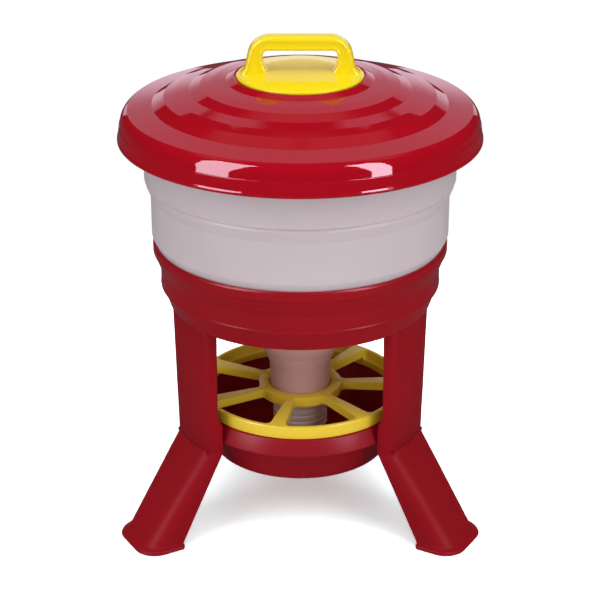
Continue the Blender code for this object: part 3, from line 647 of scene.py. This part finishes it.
def makeGrip(material):
    base = boxes["lid_handle"][0].z
    capRun = softened([(x, base + y, r) for x, y, r in grip["cap"]], grip["capArc"])
    cap = spun("lidHandle", capRun, grip["capSteps"], closed=False)
    side, window = grip["bar"], grip["window"]
    run = softened(mirrored(side) + side[::-1] + window[::-1] + mirrored(window), grip["barArc"])
    front = axisY - 0.5 * grip["depth"]
    places = [Vector((p.x, front, base + p.y)) for p in run]
    bar = startDrawing("gripBar", places[0])
    for here, there in zip(places, places[1:] + places[:1]):
        drawTo(here, there)
    bpy.ops.mesh.select_all(action="SELECT")
    bpy.ops.mesh.remove_doubles(threshold=touching)
    bpy.ops.mesh.edge_face_add()
    bpy.ops.mesh.extrude_region_move(TRANSFORM_OT_translate={"value": (0, grip["depth"], 0)})
    endDrawing(bar)
    reach, top = window[1][0] + grip["windowMargin"][0], base + window[0][1] + grip["windowMargin"][1]
    for inWindow, width in ((False, grip["outerEdge"]), (True, grip["windowEdge"])):
        takeUp(bar)
        bpy.ops.object.mode_set(mode="EDIT")
        selectEdges(bar, lambda a, b: inFlatSide(a, b, front) and all(
            (abs(point.x) < reach and point.z < top) == inWindow for point in (a, b)))
        bpy.ops.mesh.bevel(offset=width, segments=grip["edgeSteps"], profile=0.5, affect="EDGES")
        bpy.ops.object.mode_set(mode="OBJECT")
    bpy.ops.object.mode_set(mode="EDIT")
    selectFaces(bar, lambda face: abs(face.normal.y) > facing and face.calc_area() > grip["panelArea"])
    bpy.ops.mesh.inset(thickness=grip["panelRim"], depth=-grip["panelDepth"])
    bpy.ops.object.mode_set(mode="OBJECT")
    fuse(cap, bar)
    smooth(cap)
    dress(cap, material, "lid", "lid_handle")
    print("grip made")


# Tub with its funnel and feed tube

tub = {
    "wall": 0.0022, "tubeWall": 0.002,
    # distance from the axis, height above the floor and rounding, from the mouth down
    "outline": [(0.1806, 0.5060, 0.001), (0.1806, 0.4290, 0.0008), (0.1768, 0.4272, 0.0005),
                (0.1791, 0.4240, 0.0008), (0.1737, 0.4105, 0.003), (0.1737, 0.3610, 0.004),
                (0.1689, 0.3516, 0.002), (0.1689, 0.3423, 0.001), (0.1648, 0.3423, 0.001)],
    "upperCorners": 7,      # the thicker wall's, down to the seat
    "funnel": [(0.0440, 0.2070, 0.012), (0.0368, 0.1890, 0.014), (0.0360, 0.1420, 0.0006)],
    "flange": {"radius": 0.188, "depth": 0.0026, "edge": 0.0008, "root": 0.001},
    "lip": {"bore": 0.0333, "top": 0.151, "edge": 0.0003, "endEdge": 0.0005},
    "steps": 176,
}


def makeTub(material):
    top = boxes["hopper_tub"][1].z
    outer = tub["outline"]
    lower = [outer[-1]] + tub["funnel"]
    innerUpper = beside([(outer[0][0], top, 0)] + outer[1:], tub["wall"])
    innerLower = beside(lower, tub["tubeWall"])
    lip, flange = tub["lip"], tub["flange"]
    under = top - flange["depth"]
    run = [(flange["radius"], under, flange["edge"]), (flange["radius"], top, flange["edge"])]
    run += [innerUpper[0][:2] + (flange["root"],)] + innerUpper[1:tub["upperCorners"]]
    run += innerLower[1:-1] + [(innerLower[-1][0], lip["top"], lip["edge"])]
    run += [(lip["bore"], lip["top"], lip["edge"]), (lip["bore"], tub["funnel"][-1][1], lip["endEdge"])]
    run += tub["funnel"][::-1] + outer[::-1][:-1] + [(outer[0][0], under, flange["root"])]
    piece = spun("hopperTub", softened(run + run[:1]), tub["steps"])
    smooth(piece)
    dress(piece, material, "hopper", "hopper_tub")
    print("tub made")


# Flow sleeve

sleeve = {"outside": 0.0330, "wall": 0.002, "bead": 0.0013, "beadHeight": 0.003,
          "grooves": 4, "pitch": 0.008, "grooveWidth": 0.003, "grooveDepth": 0.001, "steps": 96}


def makeSleeve(material):
    low, high = boxes["flow_regulator"][0].z, boxes["flow_regulator"][1].z
    out = sleeve["outside"]
    run = [(out - sleeve["wall"], low, 0.0005), (out, low, 0.0006)]
    for k in range(sleeve["grooves"]):
        start = low + sleeve["pitch"] * (k + 0.5)
        end = start + sleeve["grooveWidth"]
        deep = out - sleeve["grooveDepth"]
        lead = 0.5 * sleeve["grooveDepth"]
        run += [(out, start, 0.0004), (deep, start + lead, 0.0005),
                (deep, end - lead, 0.0005), (out, end, 0.0004)]
    bead = high - sleeve["beadHeight"]
    run += [(out, bead, 0.0002), (out + sleeve["bead"], bead, 0.0005),
            (out + sleeve["bead"], bead + 0.5 * sleeve["beadHeight"], 0.0008), (out, high, 0.0004),
            (out - sleeve["wall"], high, 0.0005)]
    piece = spun("flowSleeve", softened(run + run[:1], 3), sleeve["steps"])
    smooth(piece)
    dress(piece, material, "regulator", "flow_regulator")
    print("sleeve made")


# Collar

collar = {
    # distance from the axis, height above its base and rounding
    "outline": [(0.1549, 0.0, 0.0008), (0.1625, 0.0214, 0.0012), (0.1648, 0.0226, 0.0008),
                (0.1650, 0.0246, 0.0010), (0.1645, 0.0262, 0.0010), (0.1645, 0.0451, 0.016),
                (0.1716, 0.0640, 0.0008), (0.1728, 0.0655, 0.0008), (0.1729, 0.0750, 0.0030),
                (0.1712, 0.0773, 0.0012), (0.1692, 0.0773, 0.0008), (0.1692, 0.0677, 0.0008),
                (0.1652, 0.0677, 0.0006), (0.1652, 0.0651, 0.001), (0.1666, 0.0625, 0.002),
                (0.1619, 0.0451, 0.003), (0.1619, 0.0242, 0.003), (0.1523, 0.0, 0.0008)],
    "bossRadius": 0.005, "bossTurn": radians(10), "bossHeight": 0.03465, "bossReach": (0.1522, 0.1626),
    "bossSides": 24, "steps": 176,
}


def makeCollar(material):
    base = boxes["stand_collar"][0].z
    run = [(x, base + y, r) for x, y, r in collar["outline"]]
    ring = spun("standCollar", softened(run + run[:1]), collar["steps"])
    near, far = collar["bossReach"]
    for turn in legTurns.values():
        for side in (-1, 1):
            angle = turn + side * collar["bossTurn"]
            middle = 0.5 * (near + far)
            deselect()
            bpy.ops.mesh.primitive_cylinder_add(
                vertices=collar["bossSides"], radius=collar["bossRadius"], depth=far - near,
                location=(-middle * sin(angle), axisY + middle * cos(angle), base + collar["bossHeight"]),
                rotation=(pi / 2, 0, angle))
            boss = bpy.context.object
            bpy.ops.object.transform_apply(location=True, rotation=True, scale=True)
            fuse(ring, boss)
    smooth(ring)
    dress(ring, material, "stand", "stand_collar")
    print("collar made")


# Legs

leg = {
    "kneeHeight": 0.118, "top": 0.2740, "wall": 0.0034, "gap": 0.0003,
    "kneeHalf": 0.0440, "topHalf": 0.0462, "kneeFront": 0.1515, "topFront": 0.1549,
    "innerEdge": 0.1367, "corner": 0.0125, "wingEdge": 0.1302, "wingHeights": (0.150, 0.166),
    "footCorner": 0.019, "footInnerEdge": 0.129,
    "soleInnerEdge": 0.185, "soleHalf": 0.0378, "soleFront": 0.230, "soleCorner": 0.021,
    # height above the floor and how far the foot's wall stands out there
    "flange": [(0.0001, 0.0052), (0.0007, 0.0058), (0.0018, 0.0059), (0.0032, 0.0058), (0.0043, 0.0049),
               (0.0050, 0.0034), (0.0053, 0.0018), (0.0060, 0.0008), (0.0080, 0.0)],
    "footLevels": (0.33, 0.67, 1.0),      # shares of the way from the flange to the knee
    "frontSteps": 10, "arcSteps": 7, "edge": 0.0004,
    # blocks across the leg: half their width and from where to where they stand off the axis
    "tongue": {"half": 0.033, "depth": (0.1486, 0.1515), "below": 0.012},
    "shelf": {"half": 0.039, "depth": (0.1377, 0.1430), "heights": (0.1257, 0.1287)},
    "web": {"half": 0.0385, "depth": (0.1305, 0.1480), "below": 0.0037},
    "footTongue": {"half": 0.018, "depth": (0.1443, 0.1470), "below": 0.002},
}


def legSection(height, half, front, bulge, corner, innerEdge):
    # the channel's outer face seen from above, from one open edge round to the other
    flatHalf = half - corner
    slope = 2 * bulge * flatHalf / half ** 2
    edge = front - bulge * (flatHalf / half) ** 2 - slope * corner
    run = [(-half, innerEdge, 0), (-half, edge, corner)]
    for step in range(leg["frontSteps"] + 1):
        x = flatHalf * (2 * step / leg["frontSteps"] - 1)
        run.append((x, front - bulge * (x / half) ** 2, 0))
    run += [(half, edge, corner), (half, innerEdge, 0)]
    return [Vector((p.x, p.y + axisY, height)) for p in softened(run, leg["arcSteps"])]


def bulgeOf(radius, half):
    return radius - (radius ** 2 - half ** 2) ** 0.5


def mix(low, high, share):
    return low + (high - low) * share


def footSection(height, out=0.0):
    share = height / leg["kneeHeight"]
    half = mix(leg["soleHalf"], leg["kneeHalf"], share) + out
    front = mix(leg["soleFront"], leg["kneeFront"], share) + out
    bulge = bulgeOf(leg["kneeFront"], leg["kneeHalf"]) * share
    corner = mix(leg["soleCorner"], leg["footCorner"], share) + out
    innerEdge = mix(leg["soleInnerEdge"], leg["footInnerEdge"], share)
    return legSection(height, half, front, bulge, corner, innerEdge)


def shellFrom(name, chains):
    skin = bridged(name, chains)
    faceAway(skin, lambda place: Vector((0, axisY, place.z)))
    finishWith(skin, "SOLIDIFY", thickness=leg["wall"], offset=-1, use_even_offset=True)
    roundEdges(skin, leg["edge"], 2, radians(50))
    return skin


def cornerBlock(name, low, high):
    # a box from corner to corner
    deselect()
    bpy.ops.mesh.primitive_cube_add(size=1, location=(low + high) / 2, scale=high - low)
    piece = bpy.context.object
    piece.name = piece.data.name = name
    bpy.ops.object.transform_apply(location=True, rotation=True, scale=True)
    return piece


def acrossLeg(name, bar, low, high):
    near, far = bar["depth"]
    return cornerBlock(name, Vector((-bar["half"], axisY + near, low)),
                       Vector((bar["half"], axisY + far, high)))


def makeUprights(material):
    chains = []
    wingTop, wingEnd = leg["wingHeights"]      # the side walls reach in beside the pan up to here
    for height, innerEdge in ((leg["kneeHeight"], leg["wingEdge"]), (wingTop, leg["wingEdge"]),
                              (wingEnd, leg["innerEdge"]), (leg["top"], leg["innerEdge"])):
        share = (height - leg["kneeHeight"]) / (leg["top"] - leg["kneeHeight"])
        half = mix(leg["kneeHalf"], leg["topHalf"], share)
        front = mix(leg["kneeFront"], leg["topFront"], share)
        chains.append(legSection(height, half, front, bulgeOf(front, half), leg["corner"], innerEdge))
    first = shellFrom("uprightRear", chains)
    tongue = leg["tongue"]
    fuse(first, acrossLeg("tongue", tongue, leg["top"] - tongue["below"], boxes["upright_rear"][1].z))
    fuse(first, acrossLeg("shelf", leg["shelf"], *leg["shelf"]["heights"]))
    smooth(first)
    for place in ("left", "right"):
        twin = turnedCopy(first, f"upright{place.title()}", legTurns[place])
        dress(twin, material, "stand", f"upright_{place}")
    dress(first, material, "stand", "upright_rear")
    print("uprights made")


def makeFeet(material):
    top = leg["kneeHeight"] - leg["gap"]
    chains = [footSection(height, out) for height, out in leg["flange"]]
    chains += [footSection(mix(leg["flange"][-1][0], top, share)) for share in leg["footLevels"]]
    first = shellFrom("footRear", chains)
    web, tongue = leg["web"], leg["footTongue"]
    fuse(first, acrossLeg("web", web, top - web["below"], top))
    fuse(first, acrossLeg("tongue", tongue, top - tongue["below"], boxes["foot_rear"][1].z))
    for point in first.data.vertices:      # the sole stands flat on the floor
        point.co.z = max(point.co.z, 0)
    smooth(first)
    for place in ("left", "right"):
        twin = turnedCopy(first, f"foot{place.title()}", legTurns[place])
        dress(twin, material, "stand", f"foot_{place}")
    dress(first, material, "stand", "foot_rear")
    print("feet made")


# Pan and cone

pan = {
    # distance from the axis, height above its base and rounding
    "outline": [(0.0021, 0.0, 0), (0.1064, 0.0, 0.004), (0.1240, 0.0603, 0.002),
                (0.1323, 0.0444, 0.0006), (0.1349, 0.0444, 0.0008), (0.1272, 0.0629, 0.0016),
                (0.1214, 0.0629, 0.0012), (0.1039, 0.0026, 0.006), (0.0021, 0.0026, 0)],
    "lugHalf": 0.024, "lugReach": (0.1222, 0.1428), "lugDepth": (0.0469, 0.0614),
    "steps": 176,
}


def makePan(material):
    base = boxes["feed_pan"][0].z
    run = [(x, base + y, r) for x, y, r in pan["outline"]]
    bowl = spun("feedPan", softened(run), pan["steps"])
    low, high = pan["lugDepth"]
    near, far = pan["lugReach"]
    for turn in legTurns.values():
        lug = cornerBlock("lug", Vector((-pan["lugHalf"], axisY + near, base + low)),
                          Vector((pan["lugHalf"], axisY + far, base + high)))
        twin = turnedCopy(lug, "lugTwin", turn)
        bpy.data.objects.remove(lug)
        fuse(bowl, twin)
    smooth(bowl)
    dress(bowl, material, "stand", "feed_pan")
    print("pan made")


cone = {
    "outline": [(0.0, 0.0320, 0), (0.0042, 0.0308, 0.003), (0.0520, 0.0015, 0.0008),
                (0.0520, 0.0, 0.0006), (0.0496, 0.0, 0.0006), (0.0074, 0.0242, 0.001),
                (0.0050, 0.0242, 0.0005), (0.0050, 0.0, 0.0003), (0.0021, 0.0, 0),
                (0.0021, 0.0134, 0), (0.0, 0.0134, 0)],
    "steps": 128,
}


def makeCone(material):
    base = boxes["feed_cone"][0].z
    run = [(x, base + y, r) for x, y, r in cone["outline"]]
    piece = spun("feedCone", softened(run), cone["steps"], closed=False)
    smooth(piece)
    dress(piece, material, "stand", "feed_cone")
    print("cone made")


# Grid

grid = {
    "spokes": 7, "turn": radians(-12.9), "radius": 0.1247, "rimWall": 0.0046,
    "hubRadius": 0.050, "hubBore": 0.0378, "hubWall": 0.0026, "hubDepth": 0.012,
    "spokeDepth": 0.010, "hubWidth": 0.009, "rimWidth": 0.018,
    "innerCorner": 0.007, "outerCorner": 0.011, "innerSteps": 6, "outerSteps": 14, "arcSteps": 6,
    "lipOut": 0.1187, "lipWall": 0.0025, "seatGap": 0.0003,      # the lip drops into the pan
    "cellFloor": 0.0026, "cellOver": 0.002,                      # how far a cut reaches past the rim
    "edge": 0.0018, "steps": 168,
}


def cellRun(middle):
    # one opening between two spokes
    halfPitch = pi / grid["spokes"]
    outer = grid["radius"] - grid["rimWall"]
    innerEnd = halfPitch - 0.5 * grid["hubWidth"] / grid["hubRadius"]
    outerEnd = halfPitch - 0.5 * grid["rimWidth"] / outer
    points = []
    for radius, end, corner, steps in (
            (grid["hubRadius"], innerEnd, grid["innerCorner"], grid["innerSteps"]),
            (outer, -outerEnd, grid["outerCorner"], grid["outerSteps"])):
        for step in range(steps + 1):
            angle = middle + end * (2 * step / steps - 1)
            points.append((radius * sin(angle), -radius * cos(angle), corner if step in (0, steps) else 0))
    ring = [points[-1][:2] + (0,)] + points + [points[0][:2] + (0,)]
    return softened(ring, grid["arcSteps"])[1:-1]


def makeGrid(material):
    base, top = boxes["feeding_grid"][0].z, boxes["feeding_grid"][1].z
    seat = boxes["feed_pan"][1].z + grid["seatGap"]
    web = top - grid["spokeDepth"]
    hubLow = top - grid["hubDepth"]
    roof = top - grid["hubWall"]
    bore, wall, hub = grid["hubBore"], grid["hubWall"], grid["hubRadius"]
    lipOut, lipIn = grid["lipOut"], grid["lipOut"] - grid["lipWall"]
    run = [(bore, top, 0.0008), (bore, hubLow, 0.0005), (bore + wall, hubLow, 0.0005),
           (bore + wall, roof, 0.0005), (hub - wall, roof, 0.0005), (hub - wall, hubLow, 0.0005),
           (hub, hubLow, 0.0005), (hub, web, 0), (lipIn, web, 0), (lipIn, base, 0.0005),
           (lipOut, base, 0.0005), (lipOut, seat, 0), (grid["radius"], seat, 0.0008),
           (grid["radius"], top, 0.0018)]
    disc = spun("feedingGrid", softened(run + run[:1]), grid["steps"])
    for k in range(grid["spokes"]):
        run = cellRun(grid["turn"] + (k + 0.5) * tau / grid["spokes"])
        fuse(disc, slab("cell", run, seat + grid["cellFloor"], top + grid["cellOver"]), "DIFFERENCE")
    roundEdges(disc, grid["edge"], 3, radians(50))
    smooth(disc)
    dress(disc, material, "grid", "feeding_grid")
    print("grid made")


# Fasteners

screw = {
    "head": 0.0036, "headHeight": 0.0026, "thread": 0.00172, "pitch": 0.0011, "slot": 0.0009,
    "flatShare": 0.72, "edgeShare": 0.35, "rounding": (0.0012, 0.0006, 0.0003),      # of the head
    "core": 0.82, "tip": 0.3,                      # shares of the thread's radius
    "slotReach": 0.6, "slotFloor": 0.4,            # shares of the head's radius and height
    "slotOver": 0.001, "steps": 24, "arcSteps": 3,
}
washer = {"bore": 0.0021, "outside": 0.0058, "boreEdge": 0.0002, "edge": 0.0003, "steps": 32}


def makeScrew(name, length):
    # drawn upright on the axis, its head below and its tip up
    thin, tall, head = screw["thread"], screw["headHeight"], screw["head"]
    core, flat, side, seat = screw["core"] * thin, *screw["rounding"]
    run = [(0, -tall, 0), (screw["flatShare"] * head, -tall, flat),
           (head, -screw["edgeShare"] * tall, side), (head, 0, seat)]
    for k in range(int((length - 2 * thin) / screw["pitch"])):
        run += [(core, screw["pitch"] * (k + 0.15), 0), (thin, screw["pitch"] * (k + 0.5), 0)]
    run += [(core, length - thin, 0), (screw["tip"] * thin, length, seat), (0, length, 0)]
    piece = spun(name, softened(run, screw["arcSteps"]), screw["steps"], closed=False)
    reach, half = screw["slotReach"] * head, screw["slot"] / 2
    arm = [(reach, -half), (reach, half), (half, half)]
    quarters = ((1, 0), (0, 1), (-1, 0), (0, -1))
    cross = [Vector((x * c - y * s, x * s + y * c)) for c, s in quarters for x, y in arm]
    slot = slab("driverSlot", cross, -tall - screw["slotOver"], -screw["slotFloor"] * tall)
    fuse(piece, slot, "DIFFERENCE")
    smooth(piece)
    return piece


def makeWasher(name, low, high):
    bore, outside, edge = washer["bore"], washer["outside"], washer["edge"]
    run = [(bore, low.z, washer["boreEdge"]), (outside, low.z, edge), (outside, high.z, edge),
           (bore, high.z, washer["boreEdge"]), (bore, low.z, 0)]
    ring = spun(name, softened(run, 2), washer["steps"])
    ring.data.transform(Matrix.Translation((0.5 * (low.x + high.x), 0.5 * (low.y + high.y) - axisY, 0)))
    smooth(ring)
    return ring


def nodePoints(node):
    return [Vector(point.co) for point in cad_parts[node].data.vertices]


def placeScrew(node, heading, steel, body):
    points = nodePoints(node)
    along = [p.dot(heading) for p in points]
    low, high = min(along), max(along)
    middle = sum(points, Vector()) / len(points)
    seat = middle + heading * (low + screw["headHeight"] - middle.dot(heading))
    name = "".join(word.title() for word in node.split("_"))
    piece = makeScrew(name[0].lower() + name[1:], high - low - screw["headHeight"])
    turn = Vector((0, 0, 1)).rotation_difference(heading).to_matrix().to_4x4()
    piece.data.transform(Matrix.Translation(seat) @ turn @ Matrix.Translation((0, -axisY, 0)))
    dress(piece, steel, body, node)


def makeFasteners(steel):
    for legName, turn in legTurns.items():
        outward = Vector((-sin(turn), cos(turn), 0))
        placeScrew(f"foot_screw_{legName}", outward, steel, "stand")
        placeScrew(f"pan_screw_{legName}", Vector((0, 0, 1)), steel, "stand")
        for label, side in (("a", -1), ("b", 1)):
            angle = turn + side * collar["bossTurn"]
            outward = Vector((-sin(angle), cos(angle), 0))
            placeScrew(f"collar_screw_{legName}_{label}", outward, steel, "stand")
    placeScrew("cone_screw", Vector((0, 0, 1)), steel, "stand")
    for side in ("left", "right"):
        placeScrew(f"handle_screw_{side}", Vector((0, 0, 1)), steel, "lid")
        ring = makeWasher(f"handleWasher{side.title()}", *boxes[f"handle_washer_{side}"])
        dress(ring, steel, "lid", f"handle_washer_{side}")
    print("fasteners made")


# Scene

bpy.context.scene.view_settings.view_transform = "Standard"
placeCamera()
lightStudio()
layFloor()
finishes = {name: mouldedPlastic(name) for name in plastics}
steel = platedSteel()
makeLid(finishes["lidRed"])
makeGrip(finishes["capYellow"])
makeTub(finishes["milkyTub"])
makeSleeve(finishes["milkySleeve"])
makeCollar(finishes["collarRed"])
makeUprights(finishes["legRed"])
makeFeet(finishes["legRed"])
makePan(finishes["panRed"])
makeCone(finishes["panRed"])
makeGrid(finishes["gridYellow"])
makeFasteners(steel)
